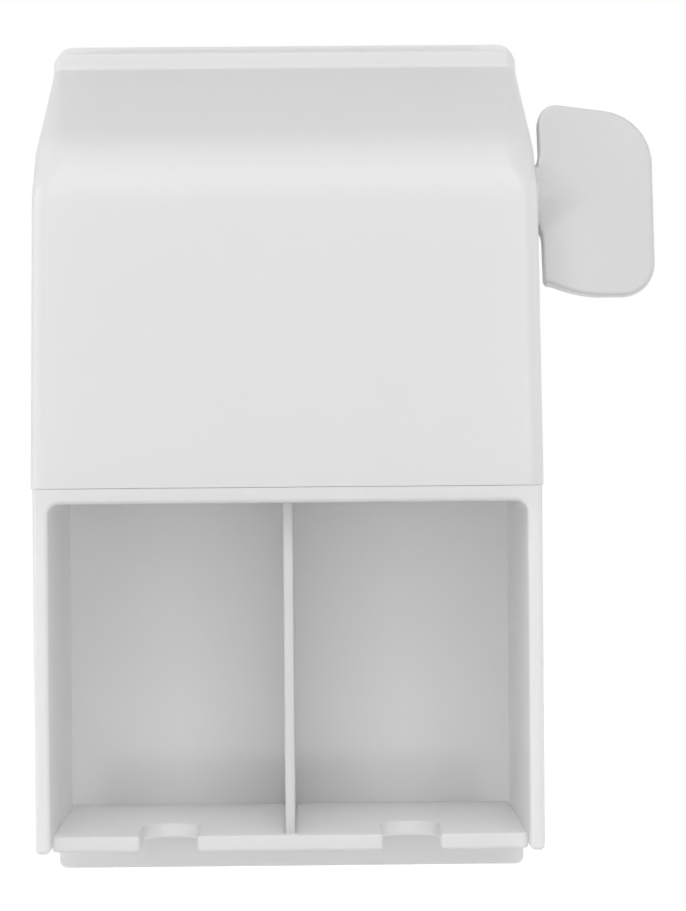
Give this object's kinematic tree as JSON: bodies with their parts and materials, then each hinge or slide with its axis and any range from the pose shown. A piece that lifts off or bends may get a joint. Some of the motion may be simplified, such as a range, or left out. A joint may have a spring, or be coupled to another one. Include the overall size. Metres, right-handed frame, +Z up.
{
  "type": "toothpaste dispenser",
  "caption": "Wall-mounted toothpaste squeezer with a side wing key, a slotted winding shaft and toothbrush bays below.",
  "frame": {"origin": "middle of the base's back face, where it meets the wall", "axes": "+X to the key's side, +Y into the wall, +Z up"},
  "size_m": [0.0905, 0.056, 0.1272],
  "materials": {
    "white_shell": "smooth moulded ABS, satin gloss",
    "key_plastic": "smooth moulded ABS",
    "inner_plastic": "moulded ABS, as moulded",
    "bush_plastic": "acetal",
    "steel": "bright steel",
    "roller_rubber": "soft rubber",
    "foam": "foam adhesive tape"
  },
  "bodies": {
    "base": {"base_frame": "white_shell", "brush_shelf": "white_shell", "bay_divider": "white_shell", "left_cheek": "inner_plastic", "right_cheek": "inner_plastic", "left_bush": "bush_plastic", "right_bush": "bush_plastic", "pawl_pin": "steel", "pawl_spring": "steel", "roller_axle": "steel", "chassis_screws": "steel", "adhesive_pads": "foam"},
    "housing": {"cover": "white_shell"},
    "winder": {"winding_shaft": "inner_plastic", "key": "key_plastic", "key_pin": "steel", "ratchet_wheel": "bush_plastic", "retaining_ring": "steel"},
    "pawl": {"ratchet_pawl": "bush_plastic"},
    "roller": {"squeeze_roller": "roller_rubber"}
  },
  "joints": [
    {"name": "key_turn", "type": "hinge", "parent": "base", "child": "winder", "pos_m": [0, -0.03, 0.0378], "axis": [1, 0, 0], "continuous": true},
    {"name": "cover_pull", "type": "slide", "parent": "base", "child": "housing", "axis": [0, -1, 0], "range_m": [0, 0.06]},
    {"name": "pawl_rock", "type": "hinge", "parent": "base", "child": "pawl", "pos_m": [-0.0318, -0.0205, 0.0248], "axis": [-1, 0, 0], "range_deg": [0, 12], "stiffness_Nm_per_rad": 0.02, "springref_deg": -8.59, "deforming": ["pawl_spring"]},
    {"name": "roller_spin", "type": "hinge", "parent": "base", "child": "roller", "pos_m": [0, -0.0069, 0.05], "axis": [1, 0, 0], "continuous": true}
  ]
}
